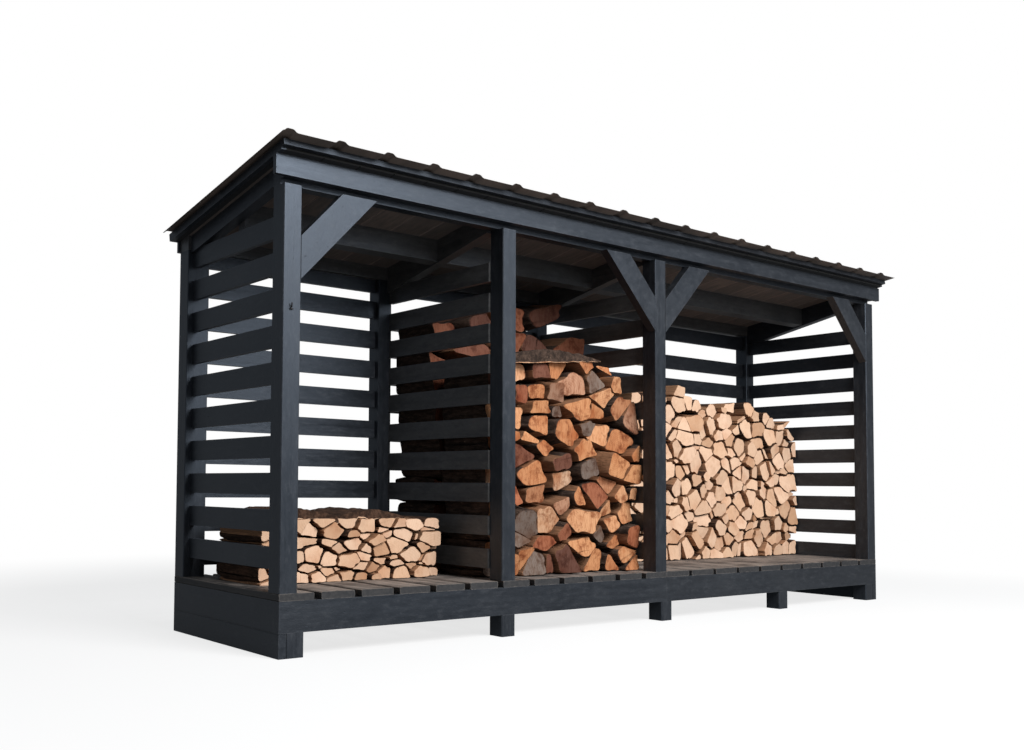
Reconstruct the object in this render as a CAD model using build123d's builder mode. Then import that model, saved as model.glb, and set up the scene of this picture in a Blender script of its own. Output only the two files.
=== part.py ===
"""Log store: an open-fronted timber shelter with a mono-pitch roof, slatted walls and a raised slatted floor.

Units are millimetres.  X runs along the front from left to right, Y runs from the open front to the back,
and Z is up from the ground.  The origin lies on the ground under the middle of the roof.
"""
import math
import os
import random

from build123d import *

os.makedirs("parts", exist_ok=True)

# ---------------------------------------------------------------- overall sizes
LENGTH = 3600.0            # over the outer faces of the end posts
DEPTH = 745.0              # over the front and back faces of the posts
ROOF_SIDE_LEFT = 68.0      # sheet beyond the left posts
ROOF_SIDE_RIGHT = 34.0     # sheet beyond the right posts
ROOF_FRONT = 98.0          # sheet in front of the front posts
ROOF_BACK = 15.0           # sheet behind the back posts
SLOPE = 0.175              # fall of the roof per unit of depth
DECK_HEIGHT = 1602.0       # underside of the roof boards at the front posts' face

X0 = -(LENGTH + ROOF_SIDE_RIGHT - ROOF_SIDE_LEFT) / 2     # outer face of the left posts
Y0 = -(DEPTH + ROOF_BACK - ROOF_FRONT) / 2                # front face of the front posts
X1 = X0 + LENGTH
Y1 = Y0 + DEPTH

# ---------------------------------------------------------------- timber sections
POST = 68.0                # square post
PLATE_Z = 1521.0           # top of the front posts, underside of the front plate
BACK_PLATE_Z = 1429.0      # top of the back posts, underside of the back plate
POST_2_X = 966.0           # left face of the second front post, from the left end
POST_3_X = 1850.0          # left face of the third front post, from the left end
BACK_POST_2_SHIFT = 65.0   # second back post, left of the second front post
SEAM_X = POST_3_X + POST   # joint between the left and the right module
SLAT = 72.0                # height of a wall slat
SLAT_PITCH = 124.0         # right end wall and the back wall behind it
PARTITION_PITCH = 119.5
LEFT_END_PITCH = 120.6     # the left end wall is slatted a little closer
MIDDLE_PITCH = 123.4       # first partition and the back wall beside it, up to the even rows
EVEN_ROWS = 5
UPPER_PITCH = 116.0        # the first partition's slats above those
MIDDLE_UPPER_PITCH = 119.0
BACK_PITCH = 127.4         # and the back wall of the left module a little wider
SLAT_THICK = 20.0
SLAT_COUNT = 10
FOOT_Z = 80.0              # height of the feet and of the lower end boards
RIM_Z = 181.0              # top of the rim boards
RIM_THICK = 34.0
FLOOR_Z = 205.0            # top of the floor boards
BRACE_REACH = 304.0        # outer corner of a knee brace from the post and from the plate
BRACE_WIDTH = 100.0
CORNER_POST = 90.0         # the back left post is wider along the wall
BRACE_THICK = 36.0
RAIL = 44.0                # thickness of the sloping rails and the purlin
RAIL_FRONT = 78.0          # depth of a rail at the front post
RAIL_REAR = 108.0          # and at the back post
LEFT_RAIL_FRONT = 56.0     # the rail over the left end wall is shallower
LEFT_RAIL_REAR = 66.0
PURLIN_HEIGHT = 88.0
HEADER_DROP = 19.0         # header board's lower edge above the post tops
PLATE_REBATE = 24.0        # the front plate is cut back under the header board
DECK_THICK = 29.0
DECK_BOARD = 145.0         # cover of one roof board
RIB_PITCH = 197.0
RIB_COUNT = 19
RIB_HEIGHT = 10.5
SHEET = 1.0
LOG_GAP = 0.8              # clearance between stacked logs
LOW_LEFT = 76.0            # the left pile, from the left end
LOW_RIGHT = 885.0
LOW_TOP = 214.0            # heights of the piles above the floor
HIGH_CLEAR = 4.0           # the high pile from the slats of each partition
HIGH_STEPS = ((640.0, 900.0), (790.0, 860.0), (840.0, 810.0))   # distance along a pile and height up to there
HIGH_TOP = 740.0
HIGH_PLANK = (14.0, 610.0, 1026.0, 0.085, 46.0)   # slab on the high pile: place, width, height, rise and thickness
BEHIND_STEPS = ((190.0, 1020.0), (520.0, 1130.0), (700.0, 1100.0))
BEHIND_TOP = 1060.0
OPEN_TOP = 3000.0          # above any pile
LIE = 0.5                  # gap under a slab that lies on logs
LOW_SLABS = ((90.0, 330.0, 34.0), (425.0, 300.0, 30.0))   # left end, width and thickness
REAR_LEFT = 2180.0
WALL_CLEAR = 6.0           # a pile from the slats beside it
REAR_CLEAR = 4.0           # and from the back posts
REAR_STEPS = ((470.0, 815.0), (1170.0, 770.0), (1300.0, 725.0))
REAR_TOP = 615.0

PARTITION_Z = FLOOR_Z + 46.0       # underside of the lowest slat in the partitions
LEFT_END_Z = FLOOR_Z + 71.0        # the same in the left end wall
MIDDLE_Z = FLOOR_Z + 42.5          # in the first partition and the back wall beside it
BACK_SLATS_Z = FLOOR_Z + 39.0      # in the back wall of the left module
BACK_TOPS = (1375.0, 1376.0, 1350.0)   # underside of the top slat in each panel of the back wall
RIGHT_SLATS_Z = FLOOR_Z            # underside of the lowest slat in the right module

POST_XS = (0.0, POST_2_X, POST_3_X, LENGTH - POST)
BACK_POST_XS = (0.0, POST_2_X - BACK_POST_2_SHIFT, POST_3_X, LENGTH - POST)
ANGLE = math.atan(SLOPE)
COS = math.cos(ANGLE)
SIN = math.sin(ANGLE)


def deck_z(y):
    """Height of the underside of the roof boards at a distance y behind the front posts' face."""
    return DECK_HEIGHT - SLOPE * y


def down_slope(y, w=0.0):
    """Distance down the slope to the point w above the underside of the boards and y behind the front posts."""
    return (y - w * SIN) / COS


def roof_plane(x):
    """Plane across the slope at x: its x axis runs along X, its y axis stands square on the roof."""
    return Plane(origin=(x, Y0, DECK_HEIGHT), x_dir=(1, 0, 0), z_dir=(0, -COS, SIN))


def block(x, y, z, dx, dy, dz, ease=0.0):
    """Timber from a corner given from the left post's outer front foot, with eased long edges."""
    with BuildPart() as timber:
        with BuildSketch(Plane.XY.offset(z)):
            with Locations((X0 + x + dx / 2, Y0 + y + dy / 2)):
                Rectangle(dx, dy)
        extrude(amount=dz)
        if ease:
            long_axis = max(((dx, Axis.X), (dy, Axis.Y), (dz, Axis.Z)), key=lambda item: item[0])[1]
            chamfer(timber.edges().filter_by(long_axis), ease)
    return timber.part


def save(solids, name):
    """Label a group of solids and write it."""
    shape = solids[0] if len(solids) == 1 else Compound(children=list(solids))
    shape.label = name
    export_step(shape, f"parts/{name}.step")


def posts():
    """Front posts up to the front plate and shorter back posts up to the back plate."""
    rows = (("front", 0.0, PLATE_Z, POST_XS), ("back", DEPTH - POST, BACK_PLATE_Z, BACK_POST_XS))
    for name, y, top, places in rows:
        for place, x in zip(("left", "second", "third", "right"), places):
            width = CORNER_POST if (name, place) == ("back", "left") else POST
            save([block(x, y, FLOOR_Z, width, POST, top - FLOOR_Z, 2.5)], f"{name}_{place}_post")


def sloped_bar(x, dx, y_from, y_to, front_height, rear_height):
    """Bar under the roof boards with upright ends, tapering from its front height to its rear height."""
    with BuildPart() as bar:
        with BuildSketch(Plane.YZ.offset(X0 + x)):
            with BuildLine():
                Polyline(
                    (Y0 + y_from, deck_z(y_from)),
                    (Y0 + y_to, deck_z(y_to)),
                    (Y0 + y_to, deck_z(y_to) - rear_height),
                    (Y0 + y_from, deck_z(y_from) - front_height),
                    close=True,
                )
            make_face()
        extrude(amount=dx)
    return bar.part


def topped_beam(x, dx, y_from, y_to, bottom):
    """Beam along the building with a level underside and a top planed to the roof slope."""
    with BuildPart() as beam:
        with BuildSketch(Plane.YZ.offset(X0 + x)):
            with BuildLine():
                Polyline(
                    (Y0 + y_from, bottom),
                    (Y0 + y_to, bottom),
                    (Y0 + y_to, deck_z(y_to)),
                    (Y0 + y_from, deck_z(y_from)),
                    close=True,
                )
            make_face()
        extrude(amount=dx)
    return beam.part


def rebated_plate():
    """Front plate: its lower front edge is cut back, which leaves a dark line under the header board."""
    with BuildPart() as beam:
        with BuildSketch(Plane.YZ.offset(X0)):
            with BuildLine():
                Polyline(
                    (Y0 + PLATE_REBATE, PLATE_Z),
                    (Y0 + POST, PLATE_Z),
                    (Y0 + POST, deck_z(POST)),
                    (Y0, deck_z(0.0)),
                    (Y0, PLATE_Z + HEADER_DROP),
                    (Y0 + PLATE_REBATE, PLATE_Z + HEADER_DROP),
                    close=True,
                )
            make_face()
        extrude(amount=LENGTH)
    return beam.part


def plates():
    """Front and back plates on the posts, each faced with a board."""
    save([rebated_plate()], "front_plate")
    save([topped_beam(0.0, LENGTH, DEPTH - POST, DEPTH, BACK_PLATE_Z)], "back_plate")
    save([topped_beam(-43.0, LENGTH + 77.0, -18.0, 0.0, PLATE_Z + HEADER_DROP)], "front_header_board")
    save([topped_beam(-8.0, LENGTH + 16.0, DEPTH, DEPTH + 12.0, BACK_PLATE_Z)], "back_header_board")


def wall_lines():
    """Middle of each end wall and partition, from the left end."""
    half = POST / 2
    return (half, POST_2_X + (POST - BACK_POST_2_SHIFT) / 2, POST_3_X + half, LENGTH - half)


def rails():
    """Sloping rails over the end walls and partitions, and the purlin between them at mid depth."""
    names = ("left_top_rail", "partition_1_top_rail", "partition_2_top_rail", "right_top_rail")
    lines = wall_lines()
    for name, x in zip(names, lines):
        front, rear = (LEFT_RAIL_FRONT, LEFT_RAIL_REAR) if name == names[0] else (RAIL_FRONT, RAIL_REAR)
        save([sloped_bar(x - RAIL / 2, RAIL, POST, DEPTH - POST, front, rear)], name)
    middle = DEPTH / 2
    purlins = []
    for here, after in zip(lines[:-1], lines[1:]):
        width = after - here - RAIL
        near, far = middle - RAIL / 2, middle + RAIL / 2
        purlins.append(sloped_bar(here + RAIL / 2, width, near, far, PURLIN_HEIGHT, PURLIN_HEIGHT))
    save(purlins, "mid_purlin")


def brace(x, direction):
    """Knee brace at 45 degrees from a post face at x up to the plate."""
    reach = BRACE_REACH
    inner = reach - BRACE_WIDTH * math.sqrt(2)
    with BuildPart() as knee:
        with BuildSketch(Plane.XZ.offset(-Y0)):
            with BuildLine():
                Polyline(
                    (X0 + x, PLATE_Z - inner),
                    (X0 + x, PLATE_Z - reach),
                    (X0 + x + direction * reach, PLATE_Z),
                    (X0 + x + direction * inner, PLATE_Z),
                    close=True,
                )
            make_face()
        extrude(amount=-BRACE_THICK)
    return knee.part


def braces():
    """Four knee braces under the front plate."""
    save([brace(POST, 1)], "left_brace")
    save([brace(POST_3_X, -1)], "middle_left_brace")
    save([brace(POST_3_X + POST, 1)], "middle_right_brace")
    save([brace(LENGTH - POST, -1)], "right_brace")


def levels(base, pitch, upper_pitch):
    """Undersides of the slats in one wall: the upper ones may be nailed at another pitch."""
    return [base + min(row, EVEN_ROWS) * pitch + max(0, row - EVEN_ROWS) * upper_pitch for row in range(SLAT_COUNT)]


def wall_slats(x, dx, y, dy, bottoms, top, limit):
    """Level slats of one panel; the last one starts at `top` and is cut off at `limit`."""
    slats = []
    for bottom in bottoms[:-1] + [top]:
        slats.append(block(x, y, bottom, dx, dy, min(SLAT, limit - bottom)))
    return slats


def side_slats(x, bottoms, rail_front, rail_rear):
    """Slats centred on x between a front and a back post, the top ones cut under the sloping rail."""
    slats = []
    for bottom in bottoms:
        with BuildPart() as slat:
            with BuildSketch(Plane.YZ.offset(X0 + x - SLAT_THICK / 2)):
                with BuildLine():
                    Polyline(
                        (Y0 + POST, bottom),
                        (Y0 + DEPTH - POST, bottom),
                        (Y0 + DEPTH - POST, bottom + SLAT),
                        (Y0 + POST, bottom + SLAT),
                        close=True,
                    )
                make_face()
                with BuildLine():
                    Polyline(
                        (Y0 + POST, deck_z(POST) - rail_front),
                        (Y0 + DEPTH - POST, deck_z(DEPTH - POST) - rail_rear),
                        (Y0 + DEPTH - POST, DECK_HEIGHT + 200),
                        (Y0 + POST, DECK_HEIGHT + 200),
                        close=True,
                    )
                make_face(mode=Mode.SUBTRACT)
            extrude(amount=SLAT_THICK)
        slats.append(slat.part)
    return slats


def walls():
    """Slatted end walls, partitions and back wall."""
    left, first, second, right = wall_lines()
    sides = (
        ("left_wall_slats", left, (LEFT_END_Z, LEFT_END_PITCH, LEFT_END_PITCH), (LEFT_RAIL_FRONT, LEFT_RAIL_REAR)),
        ("partition_1_slats", first, (MIDDLE_Z, MIDDLE_PITCH, UPPER_PITCH), (RAIL_FRONT, RAIL_REAR)),
        ("partition_2_slats", second, (PARTITION_Z, PARTITION_PITCH, PARTITION_PITCH), (RAIL_FRONT, RAIL_REAR)),
        ("right_wall_slats", right, (RIGHT_SLATS_Z, SLAT_PITCH, SLAT_PITCH), (RAIL_FRONT, RAIL_REAR)),
    )
    for name, x, spacing, rail in sides:
        save(side_slats(x, levels(*spacing), *rail), name)
    y = DEPTH - POST + (POST - SLAT_THICK) / 2
    names = ("back_slats_left", "back_slats_middle", "back_slats_right")
    spacings = (
        (BACK_SLATS_Z, BACK_PITCH, BACK_PITCH),
        (MIDDLE_Z, MIDDLE_PITCH, MIDDLE_UPPER_PITCH),
        (RIGHT_SLATS_Z, SLAT_PITCH, SLAT_PITCH),
    )
    spans = zip(BACK_POST_XS[:-1], BACK_POST_XS[1:])
    for name, spacing, top, (here, after) in zip(names, spacings, BACK_TOPS, spans):
        start = here + (CORNER_POST if here == 0.0 else POST)
        save(wall_slats(start, after - start, y, SLAT_THICK, levels(*spacing), top, BACK_PLATE_Z), name)


def board_row(start, end, count, width):
    """Floor boards of one module, evenly spaced from end to end."""
    step = (end - start - width) / (count - 1)
    thick = FLOOR_Z - RIM_Z
    return [block(start + i * step, 0.0, RIM_Z, width, DEPTH, thick, 3.0) for i in range(count)]


def floor():
    """Floor boards laid front to back on the rim and the joists."""
    save(board_row(0.0, SEAM_X, 12, 134.0), "floor_boards_left")
    save(board_row(SEAM_X, LENGTH, 10, 150.0), "floor_boards_right")


def base():
    """Rim boards, end boards, joists and feet under the floor."""
    height = RIM_Z - FOOT_Z
    back = DEPTH - RIM_THICK
    save([block(0.0, 0.0, FOOT_Z, SEAM_X, RIM_THICK, height)], "front_rim_left")
    save([block(SEAM_X, 0.0, FOOT_Z, LENGTH - SEAM_X, RIM_THICK, height)], "front_rim_right")
    save([block(0.0, back, FOOT_Z, LENGTH, RIM_THICK, height)], "back_rim")
    side = 28.0
    for name, x in (("left", 0.0), ("right", LENGTH - side)):
        save([block(x, RIM_THICK, FOOT_Z, side, back - RIM_THICK, height)], f"{name}_upper_end_board")
        save([block(x, 0.0, 0.0, side, DEPTH, FOOT_Z)], f"{name}_lower_end_board")
    feet_x = (side, POST_2_X, SEAM_X - 34.0, 2740.0, LENGTH - side - POST)
    front = [block(x, 0.0, 0.0, POST, POST, FOOT_Z, 4.0) for x in feet_x]
    rear = [block(x, DEPTH - POST, 0.0, POST, POST, FOOT_Z, 4.0) for x in feet_x]
    save(front, "front_feet")
    save(rear, "back_feet")
    cross = [block(x + 12.0, RIM_THICK, FOOT_Z, RAIL, back - RIM_THICK, height) for x in feet_x]
    save(cross, "cross_joists")
    joists = []
    for here, after in zip(feet_x[:-1], feet_x[1:]):
        start = here + 12.0 + RAIL
        joists.append(block(start, DEPTH / 2 - RAIL / 2, FOOT_Z, after + 12.0 - start, RAIL, height))
    save(joists, "long_joists")


def deck():
    """Roof boards running down the slope, with a V at every joint underneath."""
    left = -22.0
    right = LENGTH + 16.0 - 18.0
    front = -44.0 / COS
    length = DEPTH / COS - front
    with BuildPart() as boards:
        with BuildSketch(roof_plane(X0)):
            points = [(left, DECK_THICK), (left, 0.0)]
            x = left + DECK_BOARD
            while x < right - 20:
                points += [(x - 3.0, 0.0), (x, 4.0), (x + 3.0, 0.0)]
                x += DECK_BOARD
            points += [(right, 0.0), (right, DECK_THICK)]
            with BuildLine():
                Polyline(*points, close=True)
            make_face()
        extrude(amount=-length)
    boards.part.position = boards.part.position + Vector(0, front * COS, -front * SIN)
    save([boards.part], "roof_boards")


def sheet():
    """Ribbed roof sheet: bell-shaped ribs at an even pitch, the first one along the left verge."""
    left = -ROOF_SIDE_LEFT
    right = LENGTH + ROOF_SIDE_RIGHT
    rise = ((-28.0, 0.0), (-21.0, 0.25), (-15.0, 0.8), (-9.0, 1.0), (9.0, 1.0), (15.0, 0.8), (21.0, 0.25), (28.0, 0.0))
    top = []
    for i in range(RIB_COUNT):
        centre = left + 28.0 + i * RIB_PITCH
        top += [(centre + dx, DECK_THICK + SHEET + RIB_HEIGHT * share) for dx, share in rise]
    top.append((right, DECK_THICK + SHEET))
    under = [(x, w - SHEET) for x, w in reversed(top)]
    front = down_slope(-ROOF_FRONT, DECK_THICK)
    length = down_slope(DEPTH + ROOF_BACK, DECK_THICK + SHEET + RIB_HEIGHT) - front
    with BuildPart() as cover:
        with BuildSketch(roof_plane(X0)):
            with BuildLine():
                Polyline(*top, *under, close=True)
            make_face()
        extrude(amount=-length)
    cover.part.position = cover.part.position + Vector(0, front * COS, -front * SIN)
    save([cover.part], "roof_sheets")


def strip(x, dx, v, dv, w, dw):
    """Strip in roof coordinates: v runs down the slope, w stands square on the roof."""
    with BuildPart() as piece:
        with BuildSketch(roof_plane(X0)):
            with Locations((x + dx / 2, w + dw / 2)):
                Rectangle(dx, dw)
        extrude(amount=-dv)
    piece.part.position = piece.part.position + Vector(0, v * COS, -v * SIN)
    return piece.part


def trims():
    """Fascias on the ends of the roof boards and verge strips along their sides."""
    front = -44.0 / COS
    back = DEPTH / COS
    save([strip(-40.0, LENGTH + 56.0, front - 18.0, 18.0, DECK_THICK - 20.0, 20.0)], "front_fascia")
    save([strip(-40.0, LENGTH + 56.0, back, 12.0, 0.0, DECK_THICK)], "back_fascia")
    save([strip(-40.0, 18.0, front, back - front, 0.0, DECK_THICK)], "left_verge_strip")
    save([strip(LENGTH - 2.0, 18.0, front, back - front, 0.0, DECK_THICK)], "right_verge_strip")


def cut_cell(points, site, other, cell, gap):
    """Part of a polygon nearer to `site` than to `other`, measured in cells, less half of `gap`."""
    width, height = cell
    dx, dz = (other[0] - site[0]) / width**2, (other[1] - site[1]) / height**2
    reach = math.hypot(dx, dz)
    mx, mz = (site[0] + other[0]) / 2, (site[1] + other[1]) / 2
    depth = [((x - mx) * dx + (z - mz) * dz) / reach + gap / 2 for x, z in points]
    kept = []
    for i, (x, z) in enumerate(points):
        before = depth[i - 1]
        if (before > 0) != (depth[i] > 0):
            share = before / (before - depth[i])
            px, pz = points[i - 1]
            kept.append((px + share * (x - px), pz + share * (z - pz)))
        if depth[i] <= 0:
            kept.append((x, z))
    return kept


def log_ends(left, right, top, cell, seed, ceiling):
    """Outlines of split logs piled on the floor between two sides, up to the height `top(x)`.

    `ceiling` is the line that a slab lies on: its height at the left, its rise and how far it reaches.
    """
    base, rise, reach = ceiling
    width, height = cell
    rng = random.Random(seed)
    rows = int(max(top(left), top((left + right) / 2)) / height) + 3
    columns = int((right - left) / width) + 2
    sites = []
    for row in range(rows):
        for column in range(-1, columns + 1):
            x = left + (column + 0.5 + 0.5 * (row % 2) + rng.uniform(-0.3, 0.3)) * width
            z = (row + 0.5 + rng.uniform(-0.26, 0.26)) * height
            sites.append((x, z))
    ends = []
    for site in sites:
        if not (left + 0.2 * width < site[0] < right - 0.2 * width and site[1] < top(site[0])):
            continue
        lid = (base, base + rise * (right - left)) if site[0] < left + reach else (OPEN_TOP, OPEN_TOP)
        outline = [(left, 0.0), (right, 0.0), (right, lid[1]), (left, lid[0])]
        for other in sites:
            if other != site and math.dist(site, other) < 3 * width:
                outline = cut_cell(outline, site, other, cell, LOG_GAP)
        ends.append(outline)
    return ends


def pile(left, right, top, cell, front, length, stagger, seed, ceiling=(OPEN_TOP, 0.0, 0.0)):
    """Logs with their ends towards the front, each pushed in or pulled out by up to `stagger`."""
    rng = random.Random(seed + 1)
    logs = []
    for outline in log_ends(left, right, top, cell, seed, ceiling):
        start = front + rng.uniform(-stagger, stagger)
        with BuildPart() as log:
            with BuildSketch(Plane.XZ.offset(-(Y0 + start))):
                with BuildLine():
                    Polyline(*[(X0 + x, FLOOR_Z + z) for x, z in outline], close=True)
                make_face()
            extrude(amount=-length)
        logs.append(log.part)
    return logs


def slab(left, width, front, length, bottom, thick, lean=0.0):
    """Half-round slab lying bark side up, with its right edge higher by `lean` of its width."""
    rise = lean * width
    with BuildPart() as half_log:
        with BuildSketch(Plane.XZ.offset(-(Y0 + front))):
            with BuildLine():
                Line((X0 + left, bottom), (X0 + left + width, bottom + rise))
                Spline(
                    (X0 + left + width, bottom + rise),
                    (X0 + left + 0.7 * width, bottom + 0.7 * rise + 0.9 * thick),
                    (X0 + left + 0.3 * width, bottom + 0.3 * rise + thick),
                    (X0 + left, bottom),
                )
            make_face()
        extrude(amount=-length)
    return half_log.part


def stepped(start, heights, default):
    """Height of a pile by the distance from its left end: (limit, height) pairs, then the default."""

    def top(x):
        """Height of the pile at x."""
        for limit, height in heights:
            if x < start + limit:
                return height
        return default

    return top


def stacks():
    """Three piles of split firewood: a low one, a high one between the partitions and one at the back."""
    lid = LOW_TOP + 14.0
    low = pile(
        LOW_LEFT, LOW_RIGHT, lambda x: LOW_TOP, (64.0, 38.0), 255.0, 300.0, 12.0, 11, (lid, 0.0, LENGTH)
    )
    bark = [slab(x, dx, 272.0, 285.0, FLOOR_Z + lid + LIE, dz) for x, dx, dz in LOW_SLABS]
    save(low + bark, "firewood_left")
    left, right = (x + side * (SLAT_THICK / 2 + HIGH_CLEAR) for x, side in zip(wall_lines()[1:3], (1, -1)))
    high_top = stepped(left, HIGH_STEPS, HIGH_TOP)
    plank_x, plank_width, plank_z, plank_rise, plank_thick = HIGH_PLANK
    lid = plank_z - FLOOR_Z - plank_rise * plank_x
    ceiling = (lid, plank_rise, plank_x + plank_width + 75.0)
    high = pile(left, right, high_top, (124.0, 86.0), POST + 21.0, 270.0, 18.0, 23, ceiling)
    high.append(slab(left + plank_x, plank_width, POST + 14.0, 250.0, plank_z + LIE, plank_thick, plank_rise))
    start, stagger = POST + 337.0, 18.0
    length = DEPTH - POST - REAR_CLEAR - stagger - start
    behind = pile(left, right, stepped(left, BEHIND_STEPS, BEHIND_TOP), (180.0, 115.0), start, length, stagger, 31)
    save(high + behind, "firewood_middle")
    length, stagger = 270.0, 11.0
    front = DEPTH - POST - REAR_CLEAR - stagger - length
    end = LENGTH - POST / 2 - SLAT_THICK / 2 - WALL_CLEAR
    rear = pile(REAR_LEFT, end, stepped(REAR_LEFT, REAR_STEPS, REAR_TOP), (107.0, 66.0), front, length, stagger, 47)
    save(rear, "firewood_right")


posts()
plates()
rails()
braces()
walls()
floor()
base()
deck()
sheet()
trims()
stacks()
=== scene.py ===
"""Looks of the log store: painted timber, ribbed roof sheet and split firewood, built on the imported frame.

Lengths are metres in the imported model's own frame: X along the open front, Y from the front to the back, Z up.
"""
import logging
import math
import random
from dataclasses import dataclass, replace
from enum import Enum
from typing import Any, Callable, Sequence

import bmesh
import bpy
from bmesh.types import BMVert
from mathutils import Matrix, Vector, noise


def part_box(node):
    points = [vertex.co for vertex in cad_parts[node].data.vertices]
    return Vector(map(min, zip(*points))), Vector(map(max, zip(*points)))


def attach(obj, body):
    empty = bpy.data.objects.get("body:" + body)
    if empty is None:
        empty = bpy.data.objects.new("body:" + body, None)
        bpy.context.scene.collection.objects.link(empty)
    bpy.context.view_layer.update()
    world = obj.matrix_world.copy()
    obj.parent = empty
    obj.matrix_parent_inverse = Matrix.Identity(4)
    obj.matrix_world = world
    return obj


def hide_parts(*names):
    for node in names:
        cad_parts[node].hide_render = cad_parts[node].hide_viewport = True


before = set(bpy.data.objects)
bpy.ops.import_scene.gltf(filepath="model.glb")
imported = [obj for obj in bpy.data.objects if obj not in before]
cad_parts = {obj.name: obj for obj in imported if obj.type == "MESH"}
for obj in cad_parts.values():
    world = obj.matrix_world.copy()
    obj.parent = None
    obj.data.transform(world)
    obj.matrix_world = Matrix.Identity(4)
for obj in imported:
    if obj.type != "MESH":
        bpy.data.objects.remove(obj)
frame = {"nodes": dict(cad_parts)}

LOG = logging.getLogger("log_store")
Point = tuple[float, float]
Colour = tuple[float, float, float]


def placed(name: str, data: Any) -> bpy.types.Object:
    """Put data into the scene as an object.

    Args:
        name: Object's name.
        data: Mesh, curve, lamp or camera.

    Returns:
        The object.
    """
    made = bpy.data.objects.new(name, data)
    bpy.context.scene.collection.objects.link(made)
    return made


def meshed(name: str, mesh: bmesh.types.BMesh) -> bpy.types.Object:
    """Close a mesh and put it into the scene as an object.

    Args:
        name: Object's name.
        mesh: The mesh.

    Returns:
        The object.
    """
    data = bpy.data.meshes.new(name)
    mesh.to_mesh(data)
    mesh.free()
    return placed(name, data)


# ---------------------------------------------------------------- shader maths


def math_node(operation: str, swapped: bool = False) -> Callable[..., "Socket"]:
    """Make a method of a socket that adds one Math node.

    Args:
        operation: Blender's name of the operation.
        swapped: Whether the socket comes after the other value.

    Returns:
        The method.
    """

    def method(this: "Socket", *others: Any) -> "Socket":
        """Add the node."""
        values = (*others, this) if swapped else (this, *others)
        return this.graph.node("ShaderNodeMath", dict(enumerate(values)), operation=operation)

    return method


@dataclass(frozen=True)
class Socket:
    """Output socket of a value, with operators that add Math nodes."""

    graph: "Graph"
    link: Any

    __add__, __radd__ = math_node("ADD"), math_node("ADD", True)
    __sub__, __rsub__ = math_node("SUBTRACT"), math_node("SUBTRACT", True)
    __mul__, __rmul__ = math_node("MULTIPLY"), math_node("MULTIPLY", True)
    __truediv__ = math_node("DIVIDE")
    __gt__ = math_node("GREATER_THAN")
    __abs__ = math_node("ABSOLUTE")
    most = math_node("MAXIMUM")
    sine = math_node("SINE")
    fraction = math_node("FRACT")

    def clamp(self) -> "Socket":
        """Value held between zero and one."""
        return self.graph.node("ShaderNodeClamp", {"Value": self})

    def wave(self) -> "Socket":
        """Sine wave between zero and one."""
        return self.sine() * 0.5 + 0.5

    def step(self, low: float, high: float) -> "Socket":
        """Smooth rise from zero at `low` to one at `high`."""
        inputs = {"Value": self, "From Min": low, "From Max": high}
        return self.graph.node("ShaderNodeMapRange", inputs, "Result", interpolation_type="SMOOTHSTEP")


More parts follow.
